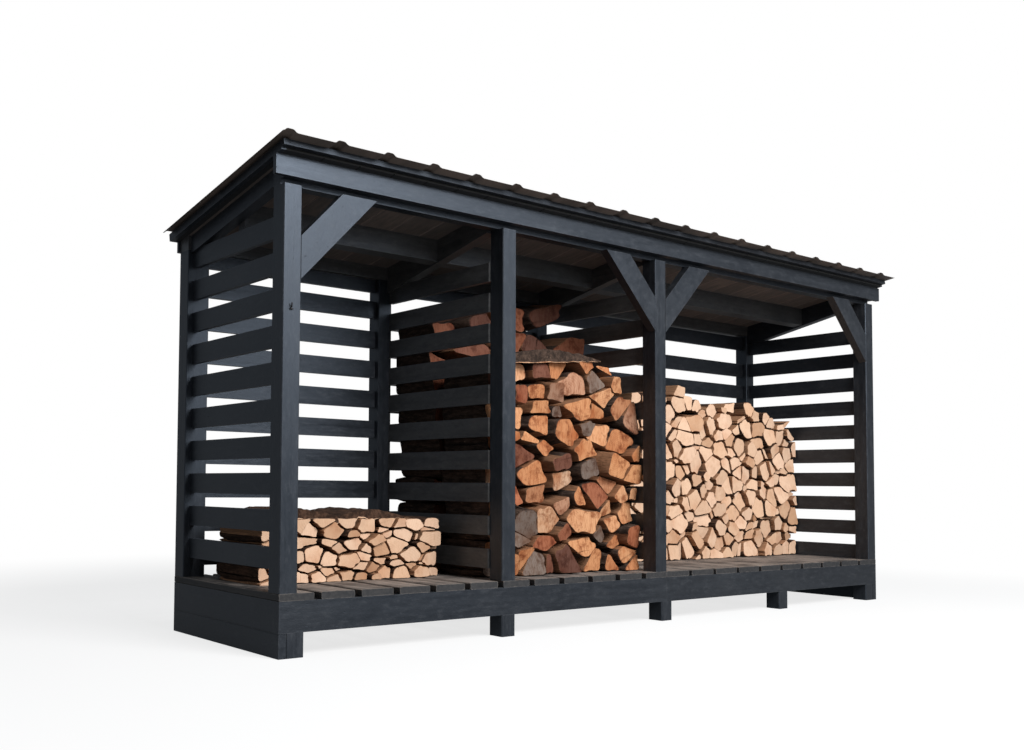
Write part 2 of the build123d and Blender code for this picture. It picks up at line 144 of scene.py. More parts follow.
class Graph:
    """Node graph of one material or of the world."""

    def __init__(self, name: str, world: bool = False) -> None:
        """Make an empty material or world.

        Args:
            name: Its name.
            world: Whether it is a world.
        """
        self.owner = (bpy.data.worlds if world else bpy.data.materials).new(name)
        self.owner.use_nodes = True
        self.tree = self.owner.node_tree
        self.tree.nodes.clear()
        self.output = self.tree.nodes.new("ShaderNodeOutputWorld" if world else "ShaderNodeOutputMaterial")

    def node(self, kind: str, inputs: dict[Any, Any], output: Any = 0, **settings: Any) -> Socket:
        """Add one node.

        Args:
            kind: Blender's node type.
            inputs: Values or links by socket name or number.
            output: Name or number of the socket that is returned.
            settings: Properties of the node, which are set first.

        Returns:
            The output socket.
        """
        made = self.tree.nodes.new(kind)
        for key, value in settings.items():
            setattr(made, key, value)
        for key, value in inputs.items():
            if isinstance(value, Socket):
                self.tree.links.new(value.link, made.inputs[key])
            else:
                made.inputs[key].default_value = value
        return Socket(self, made.outputs[output])

    def closed(self, surface: Socket) -> Any:
        """Link a shader to the output and give the material or world."""
        self.tree.links.new(surface.link, self.output.inputs[0])
        return self.owner

    def position(self) -> Socket:
        """Place on the object, in metres, in the frame's axes."""
        return self.node("ShaderNodeTexCoord", {}, "Object")

    def facing(self, name: str) -> Socket:
        """One component of the surface's direction, by its letter."""
        return self.axis(self.node("ShaderNodeNewGeometry", {}, "Normal"), name)

    def scaled(self, vector: Socket, scale: Sequence[float], shift: Sequence[float] = (0, 0, 0)) -> Socket:
        """Stretch a vector by a factor for each axis, then shift it."""
        return self.node("ShaderNodeMapping", {"Vector": vector, "Scale": tuple(scale), "Location": tuple(shift)})

    def axis(self, vector: Socket, name: str) -> Socket:
        """One component of a vector, by its letter."""
        return self.node("ShaderNodeSeparateXYZ", {0: vector}, name)

    def noise(self, vector: Socket, scale: float, detail: float = 3.0, rough: float = 0.5) -> Socket:
        """Fractal noise between zero and one, with so many cells a metre, octaves and weight of the finer ones."""
        inputs = {"Vector": vector, "Scale": scale, "Detail": detail, "Roughness": rough}
        return self.node("ShaderNodeTexNoise", inputs, "Fac")

    def spots(self, vector: Socket, scale: float) -> Socket:
        """Distance from scattered points, so many a metre."""
        return self.node("ShaderNodeTexVoronoi", {"Vector": vector, "Scale": scale}, "Distance")

    def chance(self, value: Socket) -> Socket:
        """Random number between zero and one for each value."""
        return self.node("ShaderNodeTexWhiteNoise", {"W": value}, noise_dimensions="1D")

    def length(self, vector: Socket) -> Socket:
        """Length of a vector."""
        return self.node("ShaderNodeVectorMath", {0: vector}, "Value", operation="LENGTH")

    def ramp(self, value: Socket, *stops: tuple[float, Colour]) -> Socket:
        """Make a colour that follows a value.

        Args:
            value: The value.
            stops: Place and colour of each stop.

        Returns:
            The colour.
        """
        made = self.node("ShaderNodeValToRGB", {0: value}, "Color")
        elements = made.link.node.color_ramp.elements
        while len(elements) < len(stops):
            elements.new(1.0)
        for element, (place, colour) in zip(elements, stops):
            element.position = place
            element.color = (*colour, 1.0)
        return made

    def mix(self, share: Any, first: Any, second: Any, blend: str = "MIX") -> Socket:
        """Mix two colours.

        Args:
            share: Weight of the second colour.
            first: Colour as a tuple or socket.
            second: Colour as a tuple or socket.
            blend: Blender's blend type.

        Returns:
            The mixed colour.
        """
        first, second = (c if isinstance(c, Socket) else (*c, 1.0) for c in (first, second))
        inputs = {0: share, 6: first, 7: second}
        return self.node("ShaderNodeMix", inputs, 2, data_type="RGBA", blend_type=blend)

    def sharp_edge_band(self, radius: float) -> Socket:
        """One along the sharp edges of the mesh, zero elsewhere.

        Args:
            radius: Width of the band along the edges in metres.

        Returns:
            The mask.
        """
        soft = self.node("ShaderNodeBevel", {"Radius": radius}, samples=4)
        flat = self.node("ShaderNodeNewGeometry", {}, "Normal")
        same = self.node("ShaderNodeVectorMath", {0: soft, 1: flat}, "Value", operation="DOT_PRODUCT")
        return 1 - same.step(0.80, 0.985)

    def attribute(self, name: str, output: str = "Fac") -> Socket:
        """Value stored on the mesh."""
        return self.node("ShaderNodeAttribute", {}, output, attribute_name=name)

    def finish(
        self, colour: Socket, rough: Any, height: Socket | None = None, lift: float = 0.0, **fixed: Any
    ) -> bpy.types.Material:
        """Close the graph with a Principled shader.

        Args:
            colour: Base colour.
            rough: Roughness.
            height: Relief as a share of its depth, or None.
            lift: Depth of the relief in metres.
            fixed: Constants for other sockets, with underscores for spaces.

        Returns:
            The material.
        """
        inputs = {"Base Color": colour, "Roughness": rough}
        inputs.update((key.replace("_", " "), value) for key, value in fixed.items())
        if height is not None:
            inputs["Normal"] = self.node("ShaderNodeBump", {"Height": height, "Distance": lift, "Strength": 1.0})
        return self.closed(self.node("ShaderNodeBsdfPrincipled", inputs))


# ---------------------------------------------------------------- finishes


class Grain(Enum):
    """Direction of a timber's length, as the scale of its pattern along X, Y and Z."""

    ALONG_X = (0.05, 1.0, 1.0)
    ALONG_Y = (1.0, 0.05, 1.0)
    ALONG_Z = (1.0, 1.0, 0.05)
    RISING = (0.35, 1.0, 0.35)

    def eased(self, least: float) -> list[float]:
        """The same scale with less stretch, down to `least` along the timber."""
        return [least + (1 - least) * s for s in self.value]


@dataclass(frozen=True)
class PaintedTimber:
    """Charcoal paint on planed softwood: grain shows through, with knots, rubbed patches and pale scuffs.

    `dust` and `scuffs` are weights, `shift` moves the pattern so that like boards differ, and `seam` is the height of
    a dark joint between two boards, or below the ground for none.
    """

    name: str
    grain: Grain
    colour: Colour = (0.0125, 0.0138, 0.0168)
    dust: float = 0.2
    scuffs: float = 0.5
    shift: float = 0.0
    seam: float = -1.0
    gloss: float = 0.68

    def build(self) -> bpy.types.Material:
        """Make the material.

        Returns:
            The paint, with the grain along the board.
        """
        g = Graph(self.name)
        place = g.position()
        along = g.scaled(place, self.grain.value, (self.shift, self.shift * 0.7, self.shift * 0.3))
        rings = g.noise(along, 55.0, 4.0, 0.6)
        fibre = g.noise(along, 380.0, 3.0, 0.6)
        patch = g.noise(place, 2.6, 3.0, 0.55)
        broad = g.noise(along, 9.0, 2.0, 0.5)
        knot = 1 - g.spots(g.scaled(place, self.grain.eased(0.4), (self.shift, 0.0, 0.0)), 3.4).step(0.03, 0.06)
        chip = g.noise(place, 150.0, 4.0, 0.7)
        scratch = g.noise(along, 130.0, 5.0, 0.75)
        scuff = (scratch.step(0.66, 0.76) * patch.step(0.48, 0.62) + chip.step(0.74, 0.80)) * self.scuffs
        stain = g.noise(g.scaled(place, self.grain.eased(0.35)), 55.0, 6.0, 0.75)
        speck = g.noise(g.scaled(place, self.grain.eased(0.3)), 120.0, 2.0, 0.5).step(0.70, 0.76)
        base = g.mix(rings.step(0.3, 0.72) * 0.7 + broad * 0.3, self.shade(0.78), self.shade(1.3, 0.004))
        base = g.mix((1 - stain.step(0.30, 0.50)) * 0.5 + speck * 0.7, base, self.shade(0.3))
        base = g.mix(stain.step(0.50, 0.68) * 0.6, base, self.shade(1.4, 0.024))
        base = g.mix(knot * 0.6, base, self.shade(0.4))
        base = g.mix(patch.step(0.45, 0.8) * self.dust * fibre, base, (0.10, 0.10, 0.10))
        base = g.mix(scuff.clamp() * 0.5, base, (0.17, 0.165, 0.16))
        # Pale edges: partly rubbed paint, partly a painted highlight where the edges catch the light.
        wear_and_highlight = g.sharp_edge_band(0.0035) * g.noise(place, 14.0, 4.0, 0.65).step(0.40, 0.62)
        base = g.mix(wear_and_highlight * 0.55, base, (0.13, 0.13, 0.135))
        gap = 1 - abs(g.axis(place, "Z") - self.seam + 0.002 * broad).step(0.0012, 0.0030)
        base = g.mix(gap * 0.9, base, (0.003, 0.003, 0.003))
        rough = 0.12 + 0.20 * rings + 0.18 * patch + 0.22 * stain + 0.15 * scuff + 0.2 * speck
        height = rings * 0.5 + fibre * 0.22 + stain * 0.8 - speck * 0.3 - knot * 0.5 + scuff * 0.2 - gap * 3.0
        sheen = {"Specular_Tint": (0.66, 0.80, 1.0, 1.0), "Specular_IOR_Level": self.gloss}
        return g.finish(base, rough, height, 0.0008, **sheen)

    def shade(self, factor: float, lift: float = 0.0) -> Colour:
        """The paint made darker or paler."""
        return tuple(factor * c + lift for c in self.colour)


@dataclass(frozen=True)
class WornFloor:
    """Floor boards whose paint is worn to brownish grey on top, with scraps of bark in the grain."""

    name: str

    def build(self) -> bpy.types.Material:
        """Make the material.

        Returns:
            The worn boards.
        """
        g = Graph(self.name)
        place = g.position()
        top = g.facing("Z").step(0.4, 0.8)
        along = g.scaled(place, Grain.ALONG_Y.value)
        rings = g.noise(along, 70.0, 4.0, 0.65)
        patch = g.noise(place, 7.0, 4.0, 0.6)
        crumb = g.noise(place, 190.0, 3.0, 0.6)
        base = g.mix(rings.step(0.3, 0.7), (0.020, 0.021, 0.024), (0.040, 0.039, 0.040))
        worn = g.mix(rings.step(0.35, 0.65), (0.14, 0.120, 0.108), (0.34, 0.285, 0.25))
        base = g.mix(top * patch.step(0.28, 0.58) * 0.9, base, worn)
        base = g.mix(top * crumb.step(0.66, 0.74) * 0.7, base, (0.22, 0.15, 0.10))
        # Pale board edges: partly wear, partly a painted highlight where the edges catch the light.
        wear_and_highlight = g.sharp_edge_band(0.005) * g.noise(place, 22.0, 4.0, 0.65).step(0.36, 0.58)
        base = g.mix(wear_and_highlight * 0.7, base, (0.24, 0.21, 0.19))
        return g.finish(base, 0.55 + 0.25 * patch, rings * 0.6 + crumb * 0.2, 0.001)


@dataclass(frozen=True)
class CeilingBoards:
    """Weathered brown roof boards with a pale joint between each two, painted where they overhang the walls.

    The first board starts at X `start`, each is `cover` wide, and they are bare within the walls, whose outer corner
    is `inside`.
    """

    name: str
    start: float
    cover: float
    inside: Point

    def build(self) -> bpy.types.Material:
        """Make the material.

        Returns:
            Brown boards, each with its own tone.
        """
        g = Graph(self.name)
        place = g.position()
        run = (g.axis(place, "X") - self.start) / self.cover
        joint = abs(run.fraction() - 0.5).step(0.455, 0.49)
        rings = g.noise(g.scaled(place, Grain.ALONG_Y.value), 70.0, 4.0, 0.6)
        browns = ((0.25, (0.098, 0.083, 0.075)), (0.55, (0.175, 0.139, 0.121)), (0.8, (0.25, 0.197, 0.17)))
        boards = g.mix(g.chance(run - run.fraction()) * 0.5, g.ramp(rings, *browns), (0.070, 0.064, 0.060))
        boards = g.mix(joint * 0.7, boards, (0.36, 0.28, 0.25))
        within = (g.axis(place, "X") > self.inside[0]) * (g.axis(place, "Y") > self.inside[1])
        # Painted shade: faces that look forward, the boards' front edges under the fascia, are painted near-black for
        # the shadow there.
        edge = (g.facing("Y") * -1.0).step(0.5, 0.8)
        base = g.mix(within, (0.013, 0.014, 0.016), boards)
        base = g.mix(edge, base, (0.004, 0.004, 0.004))
        return g.finish(base, 0.6 + 0.2 * rings + 0.3 * edge, rings * 0.6, 0.0010)


@dataclass(frozen=True)
class SheetCoating:
    """Matt grey-brown coating on the ribbed sheet, mottled with dust and paler on its turned-down lip."""

    name: str

    def build(self) -> bpy.types.Material:
        """Make the material.

        Returns:
            The coating.
        """
        g = Graph(self.name)
        place = g.position()
        drift = g.noise(g.scaled(place, (1.0, 0.25, 1.0)), 6.0, 4.0, 0.6)
        grit = g.noise(place, 240.0, 3.0, 0.6)
        base = g.mix(drift.step(0.35, 0.75), (0.112, 0.102, 0.098), (0.185, 0.168, 0.160))
        base = g.mix(grit.step(0.6, 0.8) * 0.4, base, (0.16, 0.15, 0.14))
        lip = (g.facing("Z") * -1.0).step(-0.3, 0.1)
        base = g.mix(lip, base, g.mix(drift.step(0.3, 0.7), (0.12, 0.098, 0.085), (0.24, 0.185, 0.155)))
        return g.finish(base, 0.45 + 0.25 * drift, grit, 0.0003, Metallic=0.0)


class LogSide(Enum):
    """What a log's face is, as the value stored on the mesh."""

    END = 0.0
    SPLIT = 0.5
    BARK = 1.0


@dataclass(frozen=True)
class SplitWood:
    """Split firewood: sawn ends with growth rings and cracks, torn split faces and rough bark.

    The mesh carries "tone" (one value per log), "side" (which face), "rim" (one beside bark, falling to zero
    inside the end) and "pith" (place from the tree's middle).

    `ends` gives the colours of the sawn ends by tone, and `mottle` is the weight of their stains.
    """

    name: str
    ends: tuple[tuple[float, Colour], ...]
    mottle: float = 0.15
    splits: Colour = (0.40, 0.215, 0.12)
    bark: Colour = (0.105, 0.054, 0.033)

    def build(self) -> bpy.types.Material:
        """Make the material.

        Returns:
            One material for all faces of the logs.
        """
        g = Graph(self.name)
        place = g.position()
        tone, side, rim = (g.attribute(name) for name in ("tone", "side", "rim"))
        pith = g.attribute("pith", "Vector")
        is_bark = side.step(0.7, 0.8)
        is_side = side.step(0.2, 0.3)
        body = g.ramp(tone, *self.ends)
        second = g.chance(tone * 91.0)
        wobble = g.noise(pith, 16.0, 3.0, 0.6)
        radius = g.length(pith) + 0.014 * wobble
        rings = (radius * (620.0 + 500.0 * second)).wave()
        speck = g.noise(place, 300.0, 4.0, 0.7)
        blotch = g.noise(place, 26.0, 4.0, 0.6)
        streak = g.noise(g.scaled(place, (1.0, 1.0, 0.2)), 120.0, 3.0, 0.6)
        strong = 0.3 + 0.7 * self.mottle
        stain = g.noise(place, 17.0, 5.0, 0.7)
        ragged = rim + 0.5 * (blotch - 0.5)
        stains = (
            (rings * 0.35 * strong, (0.74, 0.60, 0.48)),
            (blotch.step(0.42, 0.75) * (0.3 + 0.6 * second) * strong, (0.72, 0.52, 0.38)),
            (radius.step(0.075, 0.01) * second * strong, (0.70, 0.45, 0.30)),
            (streak.step(0.6, 0.75) * 0.6 * strong, (0.6, 0.48, 0.40)),
            (speck.step(0.6, 0.78) * strong, (0.45, 0.33, 0.25)),
            (stain.step(0.48, 0.66) * self.mottle, (0.42, 0.27, 0.19)),
            (streak.step(0.45, 0.62) * self.mottle * 0.5, (0.62, 0.44, 0.34)),
            (ragged.step(0.55, 1.0) * 0.8, (0.36, 0.23, 0.17)),
        )
        end = body
        for share, tint in stains:
            end = g.mix(share, end, g.mix(1.0, end, tint, "MULTIPLY"))
        along = g.scaled(place, (1.0, 0.06, 1.0))
        fibre = g.noise(along, 150.0, 5.0, 0.7)
        split = g.mix(fibre.step(0.3, 0.7), tuple(0.45 * c for c in self.splits), self.splits)
        split = g.mix(0.35 * second, split, g.mix(1.0, body, (0.62, 0.45, 0.34), "MULTIPLY"))
        crust = g.noise(g.scaled(place, (1.0, 0.22, 1.0)), 60.0, 6.0, 0.72)
        flake = g.noise(place, 34.0, 4.0, 0.7)
        bark = g.mix(crust.step(0.38, 0.66), tuple(0.3 * c for c in self.bark), self.bark)
        bark = g.mix(crust.step(0.60, 0.72) * 0.4, bark, (0.15, 0.088, 0.060))
        bark = g.mix(flake.step(0.64, 0.70) * crust.step(0.45, 0.6) * 0.7, bark, (0.42, 0.29, 0.20))
        colour = g.mix(is_side, end, g.mix(is_bark, split, bark))
        height = speck * 0.3 * (1 - is_side) + fibre * 1.3 * is_side + crust * 3.2 * is_bark + rings * 0.10
        return g.finish(colour, 0.74 + 0.2 * speck + 0.1 * is_bark, height, 0.0022, Specular_IOR_Level=0.25)


# ---------------------------------------------------------------- the timber shelter


@dataclass
class Shelter:
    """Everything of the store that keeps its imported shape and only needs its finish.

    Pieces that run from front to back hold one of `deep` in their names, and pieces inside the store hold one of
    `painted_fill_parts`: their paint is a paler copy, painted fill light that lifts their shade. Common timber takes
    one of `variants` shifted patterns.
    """

    nodes: dict[str, bpy.types.Object]
    board_cover: float = 0.145
    variants: int = 4
    # Paler paint for the parts inside the store: painted fill light that lifts their shade.
    painted_fill_colour: Colour = (0.066, 0.064, 0.062)
    deep: tuple[str, ...] = ("_wall_slats", "partition_", "_end_board", "_top_rail", "_verge_strip", "cross_joists")
    painted_fill_parts: tuple[str, ...] = ("partition_", "purlin", "back_plate")

    def grain_of(self, name: str) -> Grain:
        """Direction of the timber in a node.

        Args:
            name: Node's name.

        Returns:
            The grain.
        """
        if name.endswith(("_post", "_feet")):
            return Grain.ALONG_Z
        if name.endswith("_brace"):
            return Grain.RISING
        if any(part in name for part in self.deep):
            return Grain.ALONG_Y
        return Grain.ALONG_X

    def finish_of(self, name: str, variant: int) -> Any:
        """Finish of a node.

        Args:
            name: Node's name.
            variant: Which shifted pattern common timber takes.

        Returns:
            The finish.
        """
        if name == "roof_sheets":
            return SheetCoating("sheet_coating")
        if name == "roof_boards":
            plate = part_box("front_plate")[0]
            roof_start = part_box("roof_boards")[0].x
            return CeilingBoards("ceiling_boards", roof_start, self.board_cover, (plate.x, plate.y))
        if name.startswith("floor_boards_"):
            return WornFloor("worn_floor")
        if name.endswith("_end_board"):
            side = name.split("_")[0]
            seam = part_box(f"{side}_lower_end_board")[1].z
            return PaintedTimber(f"paint_{side}_end", Grain.ALONG_Y, shift=7.0, seam=seam)
        # Painted shade: a much darker copy of the paint on the front plate, for the shadow under the header.
        if name == "front_plate":
            return PaintedTimber("paint_shaded", Grain.ALONG_X, (0.006, 0.0065, 0.008))
        if name == "front_fascia":
            return PaintedTimber("paint_fascia", Grain.ALONG_X, shift=3.0, gloss=0.46)
        grain = self.grain_of(name)
        # Parts inside the store take the paler paint, painted fill light for their shade.
        inside = any(part in name for part in self.painted_fill_parts)
        label = f"paint_{grain.name.lower()}_{variant}" + "_inside" * inside
        colour = self.painted_fill_colour if inside else PaintedTimber.colour
        return PaintedTimber(label, grain, colour, shift=3.1 * variant)

    def dress(self) -> None:
        """Give each node its finish."""
        built: dict[Any, bpy.types.Material] = {}
        for number, (name, piece) in enumerate(sorted(self.nodes.items())):
            if name.startswith("firewood"):
                continue
            finish = self.finish_of(name, number % self.variants)
            if finish not in built:
                built[finish] = finish.build()
            piece.data.materials.clear()
            piece.data.materials.append(built[finish])
            LOG.info("dressed %s with %s", name, finish.name)


# ---------------------------------------------------------------- firewood


@dataclass(frozen=True)
class Room:
    """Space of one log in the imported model: its cross-section and the Y of its two ends."""

    points: tuple[Point, ...]
    front: float
    back: float

    @classmethod
    def all_of(cls, node: bpy.types.Object) -> "list[Room]":
        """Read the rooms of a packed pile, one for each separate solid.

        Args:
            node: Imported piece.

        Returns:
            The rooms, from the lowest up.
        """
        mesh = bmesh.new()
        mesh.from_mesh(node.data)
        bmesh.ops.transform(mesh, matrix=node.matrix_world, verts=mesh.verts)
        bmesh.ops.remove_doubles(mesh, verts=mesh.verts, dist=0.00002)
        unseen = set(mesh.verts)
        rooms = []
        while unseen:
            solid, edge = set(), [unseen.pop()]
            while edge:
                vert = edge.pop()
                solid.add(vert)
                near = {e.other_vert(vert) for e in vert.link_edges} & unseen
                unseen -= near
                edge.extend(near)
            front, back = min(v.co.y for v in solid), max(v.co.y for v in solid)
            points = [(v.co.x, v.co.z) for v in solid if v.co.y < front + 0.001]
            middle = Vector((sum(p[0] for p in points), sum(p[1] for p in points))) / len(points)
            points.sort(key=lambda p: math.atan2(p[1] - middle.y, p[0] - middle.x))
            rooms.append(cls(tuple(points), front, back))
        mesh.free()
        return sorted(rooms, key=lambda room: (round(min(p[1] for p in room.points), 4), room.points[0][0]))

    @property
    def left(self) -> float:
        """Lowest X."""
        return min(p[0] for p in self.points)

    @property
    def right(self) -> float:
        """Highest X."""
        return max(p[0] for p in self.points)

    def covers(self, x: float) -> bool:
        """Whether the room lies at an X."""
        return self.left < x < self.right

    def span(self, x: float) -> Point:
        """Lowest and highest Z of the cross-section, which is convex, at an X.

        Args:
            x: Place across the section.

        Returns:
            Bottom and top.
        """
        heights = []
        for i, (x1, z1) in enumerate(self.points):
            x0, z0 = self.points[i - 1]
            if (x0 - x) * (x1 - x) <= 0 and x0 != x1:
                heights.append(z0 + (z1 - z0) * (x - x0) / (x1 - x0))
        return (min(heights), max(heights))


def area(points: Sequence[Point]) -> float:
    """Area of a polygon whose corners run anticlockwise."""
    return 0.5 * sum(points[i - 1][0] * p[1] - p[0] * points[i - 1][1] for i, p in enumerate(points))


def between(first: Point, second: Point, share: float) -> Point:
    """Point on the line from one point to another."""
    return (first[0] + share * (second[0] - first[0]), first[1] + share * (second[1] - first[1]))


@dataclass(frozen=True)
class LogStyle:
    """How the logs of a pile are split, sawn and stacked, with lengths in metres.

    Attributes:
        stretch: How much wider than high a log is.
        spread: How much logs differ in size.
        gap: Space between logs.
        loss: Largest share of a log's room that is given up for fewer corners.
        corners: Numbers of corners to choose from.
        lean: Largest slope of a sawn end.
        recess: Largest depth of an end behind the pile's front.
        density: Number of logs for each packed one.
        bark_end_as_shade: Whether the logs at the left end show bark all round, as painted shade for that end.
        hang: Most that a slab's bark hangs over the logs.
    """

    stretch: float
    spread: float
    gap: float
    loss: float
    corners: tuple[int, ...]
    lean: float
    recess: float
    density: float = 1.0
    bark_end_as_shade: bool = False
    hang: float = 0.026


@dataclass
class Packing:
    """Fills the outline of a pile with irregular cells, one for each log.

    Each seed is the freest of `tries` random places and then moves `smoothing` times to its cell's centre. Seeds feel
    each other within `reach` pitches, cells up to `beside` from a slab still end below it, and those smaller than
    `least` squares of the pitch are dropped.
    """

    rooms: Sequence[Room]
    slabs: Sequence[Room]
    rng: random.Random
    style: LogStyle
    tries: int = 9
    smoothing: int = 2
    reach: float = 4.5
    beside: float = 0.03
    least: float = 0.15

    def __post_init__(self) -> None:
        """Measure the pile."""
        heights = [p[1] for room in self.rooms for p in room.points]
        self.left, self.right = min(room.left for room in self.rooms), max(room.right for room in self.rooms)
        self.floor, self.high = min(heights), max(heights)
        size = sum(area(room.points) for room in self.rooms) / len(self.rooms)
        self.pitch = math.sqrt(size / self.style.stretch)

    def top(self, x: float) -> float:
        """Height of the pile at an X."""
        return max((room.span(x)[1] for room in self.rooms if room.covers(x)), default=self.floor)

    def filled(self, count: int) -> list[Room]:
        """Cells of the pile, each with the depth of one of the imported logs.

        Args:
            count: Number of logs.

        Returns:
            The cells as rooms.
        """
        seeds: list[Point] = []
        while len(seeds) < count:
            found = []
            for _ in range(self.tries):
                x = self.rng.uniform(self.left, self.right)
                z = self.rng.uniform(self.floor, self.top(x))
                near = min((self.apart((x, z), seed) for seed in seeds), default=1.0)
                found.append((near, (x, z)))
            seeds.append(max(found)[1])
        lids = self.ghosts()
        for _ in range(self.smoothing):
            cells = [self.cell(seed, 0.0, [(other, 0.0) for other in seeds + lids]) for seed in seeds]
            seeds = [centre(cell) for cell in cells]
        spread = self.style.spread
        weights = [self.rng.uniform(-spread, spread) * self.pitch**2 for _ in seeds]
        others = list(zip(seeds, weights)) + [(lid, 0.0) for lid in lids]
        rooms = []
        for cell in [self.cell(seed, weight, others) for seed, weight in zip(seeds, weights)]:
            if len(cell) > 2 and area(cell) > self.least * self.pitch**2:
                like = self.rng.choice(self.rooms)
                rooms.append(Room(tuple(cell), like.front, like.back))
        return rooms

    def apart(self, first: Point, second: Point) -> float:
        """Distance between two points, with X drawn in."""
        return math.hypot((first[0] - second[0]) / self.style.stretch, first[1] - second[1])

    def ghosts(self) -> list[Point]:
        """Seeds above the pile that carry no log and so end the cells below.

        Returns:
            The seeds.
        """
        step = 0.8 * self.pitch * self.style.stretch
        count = int((self.right - self.left) / step) + 1
        spots = [self.left + (k + 0.5) * (self.right - self.left) / count for k in range(count)]
        bare = [x for x in spots if not any(slab.covers(x) for slab in self.slabs)]
        return [(x, self.top(x) + self.pitch * self.rng.uniform(0.25, 0.6)) for x in bare]

    def cell(self, seed: Point, weight: float, others: Sequence[tuple[Point, float]]) -> list[Point]:
        """Part of the pile nearest to one seed.

        Args:
            seed: The seed.
            weight: Square of its extra reach.
            others: All seeds with their weights.

        Returns:
            A convex polygon.
        """
        cell = [(self.left, self.floor), (self.right, self.floor), (self.right, self.high), (self.left, self.high)]
        for slab in self.slabs:
            left, right = slab.left, slab.right
            if left - self.beside < seed[0] < right + self.beside:
                low = slab.span(left + 0.002)[0]
                rise = (slab.span(right - 0.002)[0] - low) / (right - left)
                cell = kept(cell, lambda p: p[1] - low - rise * (p[0] - left))
        for other, extra in others:
            gap = self.apart(seed, other)
            if 0 < gap < self.reach * self.pitch:

                def beyond(p: Point) -> float:
                    """How much nearer a point is to the other seed."""
                    return self.apart(p, seed) ** 2 - weight - self.apart(p, other) ** 2 + extra

                cell = kept(cell, beyond)
        return cell


def kept(points: Sequence[Point], beyond: Callable[[Point], float]) -> list[Point]:
    """Part of a convex polygon where a function that is linear in X and Z is below zero.

    Args:
        points: The polygon.
        beyond: The function.

    Returns:
        The part that stays.
    """
    stay = []
    for i, here in enumerate(points):
        last = points[i - 1]
        before, now = beyond(last), beyond(here)
        if (before > 0) != (now > 0):
            stay.append(between(last, here, before / (before - now)))
        if now <= 0:
            stay.append(here)
    return stay


def centre(points: Sequence[Point]) -> Point:
    """Centre of area of a polygon.

    Args:
        points: Its corners in order.

    Returns:
        The centre.
    """
    whole, cx, cz = 0.0, 0.0, 0.0
    for i, (x1, z1) in enumerate(points):
        x0, z0 = points[i - 1]
        cross = x0 * z1 - x1 * z0
        whole += cross
        cx += (x0 + x1) * cross
        cz += (z0 + z1) * cross
    return (cx / (3 * whole), cz / (3 * whole))


@dataclass(frozen=True)
class Outline:
    """Rounded cross-section of one log, with the runs of edges that carry bark."""

    points: tuple[Point, ...]
    full: tuple[Point, ...]
    bark: tuple[bool, ...]
    pith: Point


@dataclass
class LogShaper:
    """Turns a log's room into a rounded, irregular cross-section.

    Bark lies on a share `barked` of the logs. The two cuts are least and largest shares of an edge that a corner's
    curve takes, beside bark and elsewhere, and `dent` and `ripple` say how far a split face and each of its points lie
    inwards, as shares of the way to the middle.
    """

    rng: random.Random
    style: LogStyle
    barked: float = 0.7
    round_cut: Point = (0.28, 0.42)
    split_cut: Point = (0.08, 0.26)
    dent: Point = (-0.03, 0.12)
    ripple: Point = (-0.03, 0.04)

    def outline(self, room: Room) -> Outline:
        """Cross-section within a room: a few split faces, soft corners and often one arc of bark.

        Args:
            room: Room of the log.

        Returns:
            The outline, which stays inside the room.
        """
        cell = [p for i, p in enumerate(room.points) if math.dist(p, room.points[i - 1]) > 0.005]
        corners = self.fewer(list(cell))
        middle = centre(corners)
        gap = 1.3 * self.style.gap
        corners = [between(p, middle, min(0.3, gap / max(0.001, math.dist(p, middle)))) for p in corners]
        count = len(corners)
        bark_at = self.rng.randrange(count) if self.rng.random() < self.barked else -1
        soft: list[Point] = []
        bark: list[bool] = []
        for i, here in enumerate(corners):
            before, after = corners[i - 1], corners[(i + 1) % count]
            arc = bark_at >= 0 and i in (bark_at, (bark_at + 1) % count)
            cut = self.rng.uniform(*(self.round_cut if arc else self.split_cut))
            start, end = between(here, before, cut), between(here, after, cut)
            for step in range(5):
                t = step / 4
                soft.append(between(between(start, here, t), between(here, end, t), t))
                bark.append(arc or (step == 4 and i == bark_at))
            dent = 0.0 if i == bark_at else self.rng.uniform(*self.dent)
            far_end = between(after, here, 0.2)
            for t in (0.25, 0.5, 0.75):
                push = max(0.0, dent * (1.2 - abs(t - 0.5)) + self.rng.uniform(*self.ripple))
                soft.append(between(between(end, far_end, t), middle, push))
                bark.append(i == bark_at)
        far = corners[(bark_at + 1 + count // 2) % count]
        reach = self.rng.uniform(-0.4, 0.6)
        full = tuple(self.edge(cell, middle, point) for point in soft)
        return Outline(tuple(soft), full, tuple(bark), between(far, middle, -reach))

    @staticmethod
    def edge(cell: Sequence[Point], middle: Point, point: Point) -> Point:
        """Point on a polygon's edge in the direction of another point.

        Args:
            cell: Convex polygon.
            middle: Point inside it.
            point: Point that gives the direction.

        Returns:
            Where the line from the middle leaves the polygon.
        """
        dx, dz = point[0] - middle[0], point[1] - middle[1]
        best = 1.6
        for i, (x1, z1) in enumerate(cell):
            x0, z0 = cell[i - 1]
            across = (x1 - x0) * dz - (z1 - z0) * dx
            if across < -1e-12:
                best = min(best, ((x1 - x0) * (z0 - middle[1]) - (z1 - z0) * (x0 - middle[0])) / across)
        best = max(1.0, best)
        return (middle[0] + best * dx, middle[1] + best * dz)

    def fewer(self, corners: list[Point]) -> list[Point]:
        """Drop the corners that matter least.

        Args:
            corners: Convex polygon.

        Returns:
            A simpler polygon inside it.
        """
        whole = area(corners)
        aim = self.rng.choice(self.style.corners)
        while len(corners) > aim:
            losses = [area([corners[i - 2], corners[i - 1], corners[i]]) for i in range(len(corners))]
            least = min(range(len(corners)), key=losses.__getitem__)
            if area(corners) - losses[least] < (1 - self.style.loss) * whole:
                break
            del corners[least - 1]
        return corners


